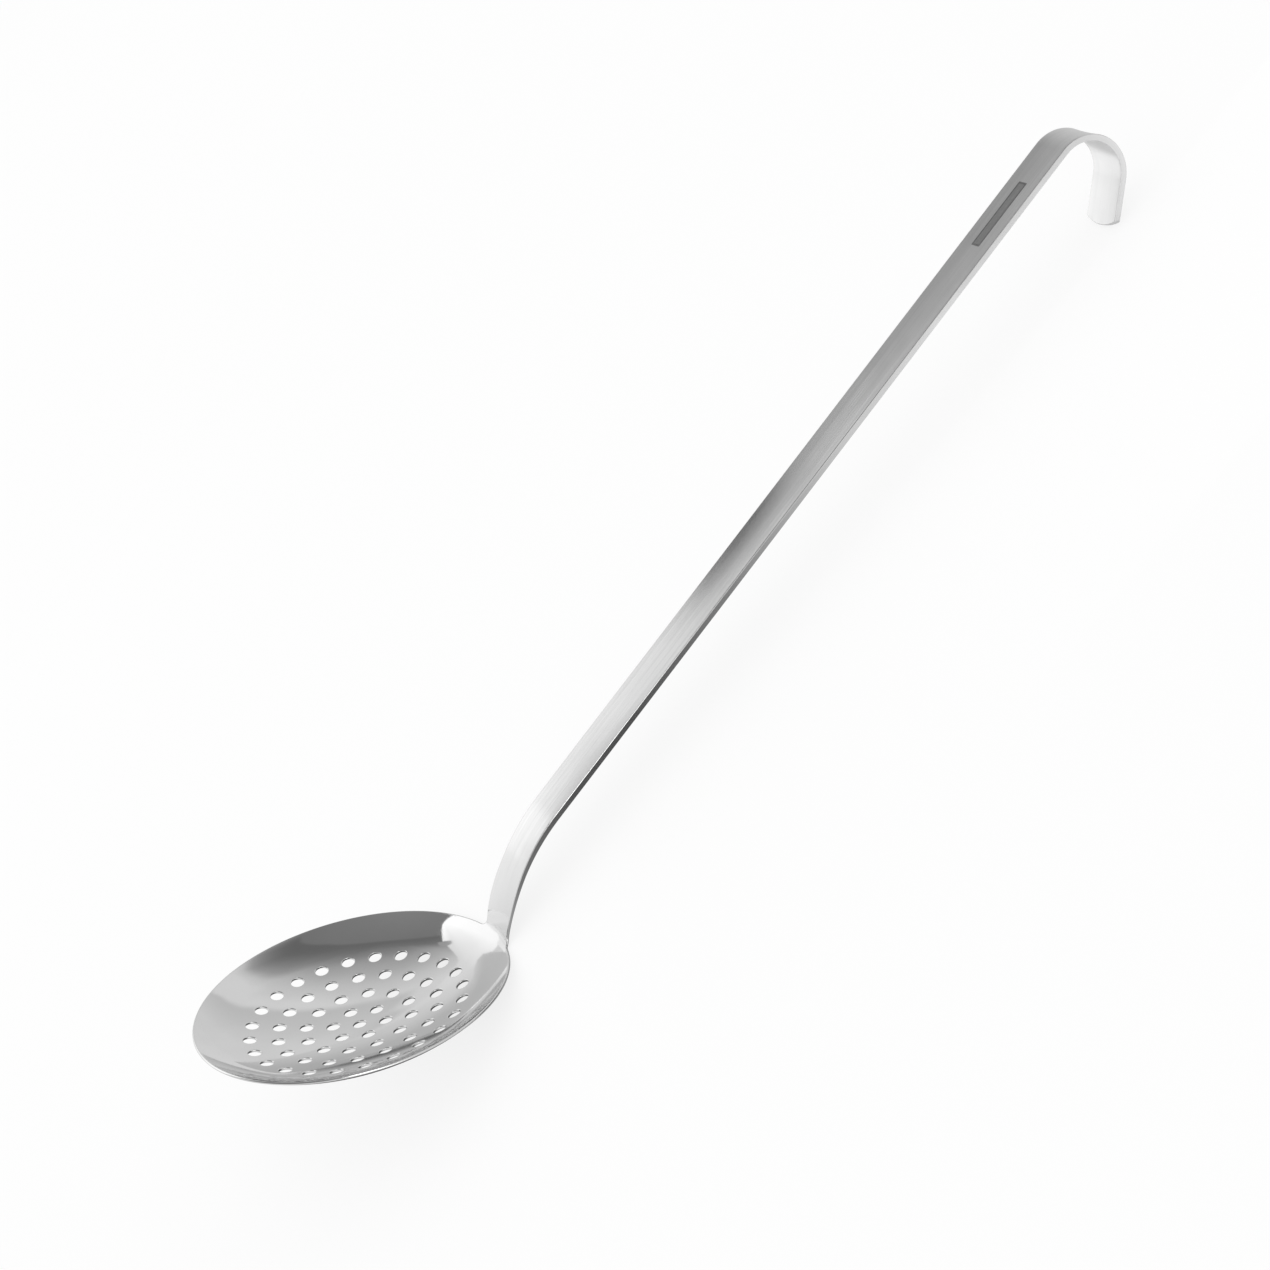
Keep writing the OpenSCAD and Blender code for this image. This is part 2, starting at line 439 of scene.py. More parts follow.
    def outer_ring(self, edge: np.ndarray, step: RoundStep) -> Rows:
        """One ring of points round the outer edge.

        Args:
            edge: rows of the outer edge.
            step: the ring's step of the rounded profile.

        Returns:
            The ring's points.
        """
        radius = self.edge(edge[:, 0])
        s = edge[:, 0] - edge[:, 2] * radius * step.inset
        q = edge[:, 1] - edge[:, 3] * radius * step.inset
        s0, q0 = edge[:, 0] - edge[:, 2] * radius, edge[:, 1] - edge[:, 3] * radius
        depth = radius * (1 - math.cos(step.turn))
        n = self.hollow(s0, q0) - depth if step.side is Side.FRONT else depth - self.thickness(s)
        along, across, out = self.directions(s, q)
        outward = unit(along * edge[:, 2:3] + across * edge[:, 3:4])
        normals = step.side * math.cos(step.turn) * out + math.sin(step.turn) * outward
        return Rows(self.place(s, q, n), normals, self.lay_flat(s, q))

    def holes(self) -> List[np.ndarray]:
        """The drain holes.

        Returns:
            Directions from the dish's centre to the middle of each.
        """
        pitch = (self.lean[0] * self.dish_r - self.hole_margin) / self.hole_rings
        found = [np.array([0.0, 0.0, -1.0])]
        for ring in range(1, self.hole_rings + 1):
            tilt = math.asin(pitch * ring / self.dish_r)
            for i in range(6 * ring):
                turn = math.radians(90 + 60 * i / ring)
                level = math.sin(tilt)
                found.append(np.array([level * math.cos(turn), level * math.sin(turn), -math.cos(tilt)]))
        return found

    def in_dish(self, rays: np.ndarray, depth: float) -> np.ndarray:
        """Points of the dish at a depth under its front face, along rays from its centre."""
        return rays * (self.front_dish_r + depth) + np.array([0, 0, self.dish_z])

    def hole_ring(self, middle: np.ndarray, step: RoundStep, widen: float = 0.0) -> Rows:
        """One ring of points round a drain hole, clockwise as laid flat.

        Args:
            middle: direction from the dish's centre to the hole.
            step: the ring's step of the rounded profile.
            widen: how much wider than the hole's edge the ring is.

        Returns:
            The ring's points.
        """
        e1 = unit(np.cross([[0.0, 1.0, 0.0]], middle[None, :]))
        e2 = np.cross(middle[None, :], e1)
        theta = np.linspace(0, 2 * math.pi, self.net.hole_points, endpoint=False)[:, None]
        spoke = e1 * np.cos(theta) + e2 * np.sin(theta)
        reach = math.asin((self.hole_d / 2 + self.hole_edge * step.inset + widen) / self.dish_r)
        rays = middle * math.cos(reach) + spoke * math.sin(reach)
        depth = self.hole_edge * (1 - math.cos(step.turn))
        points = self.in_dish(rays, depth if step.side is Side.FRONT else self.sheet_t - depth)
        normals = -step.side * math.cos(step.turn) * rays - math.sin(step.turn) * spoke
        return Rows(points, normals, rays[:, :2] * self.front_dish_r)

    def bowl_points(self, holes: Sequence[np.ndarray]) -> List[np.ndarray]:
        """Points of the bowl's front face clear of its edges: a lattice, and one ring inside the rim.

        Args:
            holes: the drain holes' innermost rings, laid flat.

        Returns:
            Arrays of arc lengths and distances across, one row for each point.
        """
        net, pitch = self.net, self.net.lattice
        reach = int(self.bowl_d / pitch)
        cells = [(i, j) for i in range(-reach, reach) for j in range(-reach, reach)]
        flat = np.array([((i + 0.5 * (j % 2)) * pitch, j * pitch * math.sqrt(0.75)) for i, j in cells])
        flat = flat[np.hypot(*flat.T) < self.front_rim - net.rim_gap]
        root_l, root_w = net.root_gap[0], self.handle_w / 2 + net.root_gap[1]
        flat = flat[(flat[:, 0] <= self.front_rim - root_l) | (np.abs(flat[:, 1]) >= root_w)]
        for ring in holes:
            flat = flat[np.hypot(*(flat - ring.mean(0)).T) > self.hole_d / 2 + net.hole_gap]
        phi = wrapped(np.linspace(0, 2 * math.pi, net.rim_ring_points, endpoint=False))
        around = phi[np.abs(phi) > root_w / self.rim_r] * self.rim_r
        return [np.stack(self.from_flat(flat), -1), np.stack([0 * around - net.rim_ring, around], -1)]

    def strip_points(self) -> List[np.ndarray]:
        """Points of the strip's front face clear of its edges, and of the bowl's wall before the neck.

        Returns:
            Arrays of arc lengths and distances across, one row for each point.
        """
        net, rows = self.net, []
        share = np.linspace(-1, 1, net.columns + 2)[1:-1]
        for place in self.row_places():
            half = float(self.half_width(np.array([place]))[0] - self.edge(np.array([place]))[0])
            past = place - self.tip_s + self.tip_r
            if past > 0:
                half = min(half, math.sqrt(max(0.0, (self.tip_r - net.tip_gap) ** 2 - past**2)))
            rows.append(np.stack([0 * share + place, share * half], -1))
        for place, half in net.root_rows:
            wide = np.linspace(-half, half, net.root_columns)
            rows.append(np.stack([0 * wide + place, wide], -1))
        return rows

    def skin(self) -> Tuple[Rows, List[Polygon]]:
        """The closed skin of the whole skimmer.

        Returns:
            Its points over the rim's plane, and its faces with their fronts out of the steel.
        """
        steps = self.profile()
        edge = self.outer_edge()
        loops = [[self.outer_ring(edge, step) for step in steps]]
        loops += [[self.hole_ring(middle, step) for step in steps] for middle in self.holes()]
        around_holes = [self.hole_ring(m, steps[0], self.net.hole_ring).flat[::2] for m in self.holes()]
        inner = self.bowl_points([loop[0].flat for loop in loops[1:]]) + self.strip_points()
        inner = np.vstack(inner + [np.stack(self.from_flat(np.vstack(around_holes)), -1)])
        s_in, q_in = inner.T
        flat_in = self.lay_flat(s_in, q_in)
        flat = np.vstack([loop[0].flat for loop in loops] + [flat_in])
        sizes = [len(loop[0].flat) for loop in loops]
        starts = np.concatenate([[0], np.cumsum(sizes)])
        rims = [(int(a + j), int(a + (j + 1) % n)) for a, n in zip(starts, sizes) for j in range(n)]
        owner = np.concatenate([np.full(n, i) for i, n in enumerate(sizes)] + [np.full(len(inner), -1)])
        joined = delaunay_2d_cdt([Vector(p) for p in flat.tolist()], rims, [], 0, self.net.join_gap, True)
        if len(joined[0]) != len(flat):
            LOG.warning("the joining of triangles made %d points of %d", len(joined[0]), len(flat))
        back_to = np.array([ids[0] for ids in joined[3]])
        tris = back_to[np.array(joined[2])]
        tris = tris[self._kept(tris, owner, flat, starts)]
        out = self.directions(s_in, q_in)[2]
        front = Rows(self.on_face(s_in, q_in), out, flat_in)
        back = Rows(self.place(s_in, q_in, -self.thickness(s_in)), -out, flat_in)
        return self._assembled(loops, front, back, tris, starts)

    def _kept(self, tris: np.ndarray, owner: np.ndarray, flat: np.ndarray, starts: np.ndarray) -> np.ndarray:
        """Which triangles lie on steel: not in a hole, nor beside the outer edge.

        Args:
            tris: triangles by point.
            owner: the edge that each point lies on, or -1.
            flat: the points, laid flat.
            starts: the first point of each edge.

        Returns:
            A mask over the triangles.
        """
        same = (owner[tris[:, 0]] == owner[tris[:, 1]]) & (owner[tris[:, 1]] == owner[tris[:, 2]])
        in_hole = same & (owner[tris[:, 0]] > 0)
        on_outer = same & (owner[tris[:, 0]] == 0)
        ring = flat[: starts[1]]
        middle = flat[tris].mean(1)
        keep = ~in_hole
        for i in np.nonzero(on_outer)[0]:
            keep[i] = inside_ring(ring, middle[i])
        return keep

    def _assembled(
        self, loops: List[List[Rows]], front: Rows, back: Rows, tris: np.ndarray, starts: np.ndarray
    ) -> Tuple[Rows, List[Polygon]]:
        """Joins the front, the back and the rounded edges between them.

        Args:
            loops: rings of each edge from front to back.
            front: inner points of the front face.
            back: inner points of the back face.
            tris: triangles of the front face.
            starts: the first front point of each edge.

        Returns:
            All points, and all faces.
        """
        parts = [loop[0] for loop in loops] + [front]
        parts += [loop[-1] for loop in loops] + [back]
        size = int(starts[-1]) + len(front.points)
        faces: List[Polygon] = [tuple(t) for t in tris.tolist()]
        faces += [(a + size, c + size, b + size) for a, b, c in tris.tolist()]
        total = 2 * size
        for i, loop in enumerate(loops):
            n = len(loop[0].points)
            firsts = [int(starts[i])] + [total + n * k for k in range(len(loop) - 2)] + [int(starts[i]) + size]
            parts += loop[1:-1]
            total += n * (len(loop) - 2)
            for a, b in zip(firsts, firsts[1:]):
                faces += [(a + j, b + j, b + (j + 1) % n, a + (j + 1) % n) for j in range(n)]
        rows = Rows(*(np.vstack([getattr(p, key) for p in parts]) for key in ("points", "normals", "flat")))
        return rows, faces

    def to_edge(self, flat: np.ndarray) -> np.ndarray:
        """Distances from places laid flat to the nearest edge of the bowl's steel.

        Args:
            flat: the places, one row each.

        Returns:
            The distances, which only grow up the strip, because its edges show no wear.
        """
        s, q = self.from_flat(flat)
        side = self.half_width(np.maximum(s, 0)) - np.abs(q)
        beside = np.hypot(np.minimum(s, 0), np.maximum(side, 0))
        gap = np.where(s < 0, beside, side)
        for middle in self.holes():
            hole = middle[:2] * self.front_dish_r
            gap = np.minimum(gap, np.hypot(*(flat - hole).T) - self.hole_d / 2)
        return np.maximum(gap, 0)

    def at_rest(self, rows: np.ndarray, shift: bool) -> np.ndarray:
        """Turns rows from over the rim's plane to how the skimmer lies.

        Args:
            rows: points or directions, one row each.
            shift: whether they are points, which move there too.

        Returns:
            The turned rows.
        """
        b = math.radians(self.rest_angle)
        x = rows[:, 0] * math.cos(b) + rows[:, 2] * math.sin(b)
        z = rows[:, 2] * math.cos(b) - rows[:, 0] * math.sin(b)
        move = self.rest_shift if shift else (0.0, 0.0)
        return np.stack([x + move[0], rows[:, 1], z + move[1]], -1)

    def build(self) -> bpy.types.Object:
        """Makes the skimmer's object.

        Returns:
            The object, with its flat map and its smooth normals, and no material yet.
        """
        rows, faces = self.skin()
        points = self.at_rest(rows.points, True) * MM
        normals = unit(self.at_rest(rows.normals, False))
        mesh = bpy.data.meshes.new("skimmer_skin")
        mesh.from_pydata(points.tolist(), [], faces)
        mesh.polygons.foreach_set("use_smooth", [True] * len(mesh.polygons))
        corners = np.zeros(len(mesh.loops), np.int32)
        mesh.loops.foreach_get("vertex_index", corners)
        layer = mesh.uv_layers.new(name=FLAT_MAP)
        layer.data.foreach_set("uv", (rows.flat[corners] * MM).ravel().astype(np.float32))
        wear = mesh.attributes.new(EDGE_GAP, "FLOAT", "POINT")
        wear.data.foreach_set("value", self.to_edge(rows.flat).astype(np.float32))
        mesh.normals_split_custom_set_from_vertices(normals.tolist())
        mesh.update()
        piece = bpy.data.objects.new("skimmer_steel", mesh)
        bpy.context.scene.collection.objects.link(piece)
        return piece

    def dress(self, piece: bpy.types.Object, effects: "Effects") -> None:
        """Gives the bowl its polish and the strip its satin.

        Args:
            piece: the skimmer's object.
            effects: the node groups that the finishes share.
        """
        piece.data.materials.append(PolishedSteel(effects).material())
        piece.data.materials.append(SatinSteel(effects).material())
        uv = piece.data.uv_layers[FLAT_MAP].data
        for face in piece.data.polygons:
            face.material_index = int(uv[face.loop_indices[0]].uv[0] > self.satin_from * MM)


def unit(rows: np.ndarray) -> np.ndarray:
    """Rows scaled to length 1."""
    return rows / np.maximum(np.linalg.norm(rows, axis=1), 1e-12)[:, None]


def wrapped(turns: np.ndarray) -> np.ndarray:
    """Turns in radians from 0 to a full one, as turns from minus half a one to half a one."""
    return np.where(turns <= math.pi, turns, turns - 2 * math.pi)


def arc_edge(s: float, q: float, radius: float, turns: np.ndarray) -> np.ndarray:
    """Points on an arc of the outer edge, with the directions from its centre.

    Args:
        s: arc length along the strip at the arc's centre.
        q: distance across at its centre.
        radius: the arc's radius.
        turns: the points' turns about the centre, in radians.

    Returns:
        Rows of arc length, distance across, and the direction's shares of both.
    """
    cos, sin = np.cos(turns), np.sin(turns)
    return np.stack([s + radius * cos, q + radius * sin, cos, sin], -1)


def inside_ring(ring: np.ndarray, point: np.ndarray) -> bool:
    """Whether a point lies inside a closed ring of points.

    Args:
        ring: the ring's points, one row each.
        point: the point.

    Returns:
        Whether it lies inside.
    """
    x1, y1 = ring[:, 0], ring[:, 1]
    x2, y2 = np.roll(x1, -1), np.roll(y1, -1)
    spans = (y1 > point[1]) != (y2 > point[1])
    with np.errstate(divide="ignore", invalid="ignore"):
        cross = x1 + (point[1] - y1) * (x2 - x1) / (y2 - y1)
    return bool((spans & (point[0] < cross)).sum() % 2)


class Op(Enum):
    """What a Math or Vector Math node works out."""

    ADD = "ADD"
    SUBTRACT = "SUBTRACT"
    MULTIPLY = "MULTIPLY"
    DIVIDE = "DIVIDE"
    MAXIMUM = "MAXIMUM"
    ABSOLUTE = "ABSOLUTE"
    LENGTH = "LENGTH"


class Feature(Enum):
    """What varies over the steel: masks from 0 to 1, and the relief in metres."""

    WAVES = "waves"
    BRUSHED = "brushed"
    SATIN = "satin"
    LINES = "lines"
    SHADES = "shades"
    RELIEF = "relief"
    # Rougher finish up the handle, which also carries painted shade in the colour.
    DULL_AND_SHADE = "dull"
    SCRATCHES = "scratches"
    PATCHES = "patches"
    WEAR = "wear"
    BAR = "bar"


Features = Dict[Feature, bpy.types.NodeSocket]
Weights = Sequence[Tuple[Feature, float]]


@dataclass(frozen=True)
class Grain:
    """Noise drawn out along the strip: its length and width in millimetres, its finer octaves and its seed."""

    along: float
    across: float
    detail: float
    seed: float
    rough: float = 0.55


@dataclass
class Bench:
    """Sets nodes into one tree and wires them."""

    tree: bpy.types.NodeTree

    def node(self, kind: str, *wires: object, **settings: object) -> bpy.types.Node:
        """Adds a node.

        Args:
            kind: the node's type, without its ShaderNode prefix.
            wires: what goes into its inputs in turn: a socket, a value, or None to leave the input as it is.
            settings: the node's own settings.

        Returns:
            The node.
        """
        made = self.tree.nodes.new("ShaderNode" + kind)
        for name, value in settings.items():
            setattr(made, name, value)
        for place, wire in enumerate(wires):
            self.feed(made.inputs[place], wire)
        return made

    def feed(self, socket: bpy.types.NodeSocket, wire: object) -> None:
        """Links a socket into an input, or sets its value.

        Args:
            socket: the input.
            wire: a socket, a value, or None to leave the input as it is.
        """
        if isinstance(wire, bpy.types.NodeSocket):
            self.tree.links.new(wire, socket)
        elif wire is not None:
            socket.default_value = wire

    def math(self, how: Op, *wires: object) -> bpy.types.NodeSocket:
        """A Math node's result."""
        return self.node("Math", *wires, operation=how.value).outputs[0]

    def vector(self, how: Op, *wires: object) -> bpy.types.NodeSocket:
        """A Vector Math node's result, which is a number for a length."""
        made = self.node("VectorMath", *wires, operation=how.value)
        return made.outputs["Value" if how is Op.LENGTH else "Vector"]

    def weighed(self, start: object, *terms: Tuple[object, float]) -> bpy.types.NodeSocket:
        """A sum of values times their weights.

        Args:
            start: what the sum starts from.
            terms: each value with its weight.

        Returns:
            The sum.
        """
        whole = start
        for value, weight in terms:
            whole = self.math(Op.ADD, whole, self.math(Op.MULTIPLY, value, weight))
        return whole

    def span(
        self, value: object, low: float, high: float, to_low: float = 0.0, to_high: float = 1.0
    ) -> bpy.types.NodeSocket:
        """A value eased from one range to another, and held at its ends."""
        made = self.node("MapRange", value, low, high, to_low, to_high, interpolation_type="SMOOTHSTEP")
        return made.outputs[0]

    def noise(self, place: object, scale: object, detail: float, rough: float) -> bpy.types.NodeSocket:
        """Noise from 0 to 1."""
        return self.node("TexNoise", place, None, scale, detail, rough).outputs[0]

    def stretched(self, place: object, grain: Grain) -> bpy.types.NodeSocket:
        """Noise whose grain is long along the strip and narrow across it.

        Args:
            place: the place laid flat, in metres.
            grain: the noise's sizes.

        Returns:
            The noise, from 0 to 1.
        """
        scaled = self.vector(Op.MULTIPLY, place, (PER_METRE / grain.along, PER_METRE / grain.across, 0))
        moved = self.vector(Op.ADD, scaled, (0, 0, grain.seed))
        return self.noise(moved, 1.0, grain.detail, grain.rough)


def effect(
    name: str, takes: Dict[str, float], gives: Sequence[str]
) -> Tuple[Bench, bpy.types.Node, bpy.types.Node]:
    """Starts a node group, with one vector input for the place laid flat.

    Args:
        name: the group's name.
        takes: its number inputs and their usual values.
        gives: its number outputs.

    Returns:
        The group's bench, and its input and output nodes.
    """
    tree = bpy.data.node_groups.new(name, "ShaderNodeTree")
    tree.interface.new_socket("Flat", in_out="INPUT", socket_type="NodeSocketVector")
    for title, value in takes.items():
        tree.interface.new_socket(title, in_out="INPUT", socket_type="NodeSocketFloat").default_value = value
    for title in gives:
        tree.interface.new_socket(title, in_out="OUTPUT", socket_type="NodeSocketFloat")
    return Bench(tree), tree.nodes.new("NodeGroupInput"), tree.nodes.new("NodeGroupOutput")


def brushing() -> bpy.types.NodeTree:
    """Fine lines along the strip, from the belt that brushed it.

    Returns:
        The group, with a depth in microns: lines from 0 to 1, wider shades from 0 to 1, and a height in metres.
    """
    bench, takes, gives = effect("brushing", {"Depth": 1.0}, ("Lines", "Shades", "Height"))
    flat = takes.outputs["Flat"]
    fine = bench.stretched(flat, Grain(along=22, across=0.16, detail=2, seed=1.3))
    coarse = bench.stretched(flat, Grain(along=60, across=0.7, detail=2, seed=4.1))
    broad = bench.stretched(flat, Grain(along=90, across=2.6, detail=1, seed=7.7))
    lines = bench.weighed(0.0, (fine, 0.6), (coarse, 0.4))
    bench.feed(gives.inputs["Lines"], bench.span(lines, low=0.36, high=0.64))
    bench.feed(gives.inputs["Shades"], bench.span(broad, low=0.3, high=0.7))
    rise = bench.math(Op.MULTIPLY, lines, takes.outputs["Depth"])
    bench.feed(gives.inputs["Height"], bench.math(Op.MULTIPLY, rise, MICRON))
    return bench.tree


def hairlines() -> bpy.types.NodeTree:
    """Sparse hair-thin scratches in three directions, from use and washing up.

    Returns:
        The group, with the scratches' share: scratches from 0 to 1.
    """
    bench, takes, gives = effect("hairlines", {"Share": 0.5}, ("Scratches",))
    found: object = 0.0
    for turn, seed in ((0.5, 2.0), (1.7, 5.0), (2.6, 9.0)):
        wires = (takes.outputs["Flat"], (0, 0, 0), None, turn)
        turned = bench.node("VectorRotate", *wires, rotation_type="Z_AXIS").outputs[0]
        grain = bench.stretched(turned, Grain(along=9, across=0.09, detail=1, seed=seed))
        patch = bench.stretched(turned, Grain(along=14, across=9, detail=1, seed=seed + 1))
        sparse = bench.span(patch, low=0.5, high=0.62)
        thin = bench.math(Op.MULTIPLY, bench.span(grain, low=0.66, high=0.74), sparse)
        found = bench.math(Op.MAXIMUM, found, thin)
    bench.feed(gives.inputs["Scratches"], bench.math(Op.MULTIPLY, found, takes.outputs["Share"]))
    return bench.tree


def edge_wear() -> bpy.types.NodeTree:
    """Wear along the steel's edges and round its holes, broken up along the way.

    Returns:
        The group, with the wear's width in millimetres: wear from 0 to 1.
    """
    bench, takes, gives = effect("edge_wear", {"Width": 0.9}, ("Wear",))
    gap = bench.node("Attribute", attribute_name=EDGE_GAP).outputs["Fac"]
    ragged = bench.noise(takes.outputs["Flat"], scale=900.0, detail=3.0, rough=0.6)
    uneven = bench.span(ragged, low=0.25, high=0.75, to_low=0.5, to_high=1.5)
    width = bench.math(Op.MULTIPLY, takes.outputs["Width"], uneven)
    near = bench.math(Op.SUBTRACT, 1.0, bench.math(Op.DIVIDE, gap, width))
    bench.feed(gives.inputs["Wear"], bench.node("Clamp", near).outputs[0])
    return bench.tree


def handling() -> bpy.types.NodeTree:
    """Soft patches where hands and drying water have dulled the shine.

    Returns:
        The group, with the patches' size in millimetres: patches from 0 to 1.
    """
    bench, takes, gives = effect("handling", {"Size": 18.0}, ("Patches",))
    scale = bench.math(Op.DIVIDE, PER_METRE, takes.outputs["Size"])
    soft = bench.noise(takes.outputs["Flat"], scale, detail=3.0, rough=0.5)
    bench.feed(gives.inputs["Patches"], bench.span(soft, low=0.38, high=0.66))
    return bench.tree


@dataclass
class Effects:
    """The node groups that the finishes share."""

    brushing: bpy.types.NodeTree = field(default_factory=brushing)
    hairlines: bpy.types.NodeTree = field(default_factory=hairlines)
    edge_wear: bpy.types.NodeTree = field(default_factory=edge_wear)
    handling: bpy.types.NodeTree = field(default_factory=handling)


@dataclass
class SteelBase:
    """What both finishes of the bare stainless steel share: one shader, its flat map and its marks.

    The weights say how much each feature adds to the roughness, to the light that the steel gives back, and to
    the height of its surface in metres.
    """

    effects: Effects
    name: str = "steel"
    colour: Triple = (0.66, 0.66, 0.66)
    roughness: float = 0.1
    light: float = 1.0
    brushed: float = 0.0
    brush_turn: float = 0.25
    scratch_share: float = 0.5
    patch_size: float = 18.0
    wear_width: float = 0.8
    rough_by: Weights = ()
    light_by: Weights = ()
    height_by: Weights = ()
    steel: bpy.types.Material = field(init=False)
    bench: Bench = field(init=False)
    shader: bpy.types.Node = field(init=False)
    flat: bpy.types.NodeSocket = field(init=False)

    def start(self) -> None:
        """Makes the material with its shader and flat map."""
        self.steel = bpy.data.materials.new(self.name)
        self.steel.use_nodes = True
        self.bench = Bench(self.steel.node_tree)
        self.shader = self.steel.node_tree.nodes["Principled BSDF"]
        self.shader.inputs["Metallic"].default_value = 1
        self.shader.inputs["Anisotropic"].default_value = self.brushed
        self.shader.inputs["Anisotropic Rotation"].default_value = self.brush_turn if self.brushed else 0.0
        self.flat = self.bench.node("UVMap", uv_map=FLAT_MAP).outputs[0]
        tangent = self.bench.node("Tangent", direction_type="UV_MAP", uv_map=FLAT_MAP)
        self.bench.feed(self.shader.inputs["Tangent"], tangent.outputs[0])

    def use(self, group: bpy.types.NodeTree, **values: float) -> bpy.types.Node:
        """Places a shared effect with this finish's own values.

        Args:
            group: the effect's node group.
            values: values of its inputs.

        Returns:
            The group's node.
        """
        made = self.bench.node("Group", node_tree=group)
        self.bench.feed(made.inputs["Flat"], self.flat)
        for title, value in values.items():
            made.inputs[title].default_value = value
        return made

    def marks(self) -> Features:
        """Places the marks that both finishes carry.

        Returns:
            Scratches, dulled patches and worn edges.
        """
        scratches = self.use(self.effects.hairlines, Share=self.scratch_share)
        patches = self.use(self.effects.handling, Size=self.patch_size)
        wear = self.use(self.effects.edge_wear, Width=self.wear_width)
        return {
            Feature.SCRATCHES: scratches.outputs["Scratches"],
            Feature.PATCHES: patches.outputs["Patches"],
            Feature.WEAR: wear.outputs["Wear"],
        }

    def finish(self, features: Features) -> bpy.types.Material:
        """Wires the features into the shader's roughness, base colour and bump.

        Args:
            features: what varies over this finish.

        Returns:
            The material.
        """
        sums = [
            self.bench.weighed(start, *((features[feature], weight) for feature, weight in weights))
            for start, weights in (
                (self.roughness, self.rough_by), (self.light, self.light_by), (0.0, self.height_by)
            )
        ]
        rough, light, height = sums
        relief = self.bench.node("Bump")
        relief.inputs["Strength"].default_value = 1.0
        relief.inputs["Distance"].default_value = 1.0
        self.bench.feed(relief.inputs["Height"], height)
        self.bench.feed(self.shader.inputs["Roughness"], rough)
        self.bench.feed(self.shader.inputs["Base Color"], self.bench.vector(Op.MULTIPLY, self.colour, light))
        self.bench.feed(self.shader.inputs["Normal"], relief.outputs[0])
        return self.steel


@dataclass
class PolishedSteel(SteelBase):
    """The bowl's mirror polish: slight waves from the press, hairlines, dulled patches and worn edges."""

    name: str = "polished_steel"
    roughness: float = 0.045
    scratch_share: float = 0.7
    patch_size: float = 16.0
    wear_width: float = 0.7
    wave_scale: float = 38.0
    wave_detail: float = 1.5
    wave_rough: float = 0.4
    rough_by: Weights = ((Feature.SCRATCHES, 0.1), (Feature.PATCHES, 0.03), (Feature.WEAR, 0.1))
    light_by: Weights = ((Feature.SCRATCHES, -0.05), (Feature.PATCHES, -0.025))
    height_by: Weights = ((Feature.WAVES, 5e-6), (Feature.SCRATCHES, -6e-7))

    def material(self) -> bpy.types.Material:
        """Makes the material.

        Returns:
            The material.
        """
        self.start()
        waves = self.bench.noise(self.flat, self.wave_scale, self.wave_detail, self.wave_rough)
        return self.finish({Feature.WAVES: waves, **self.marks()})


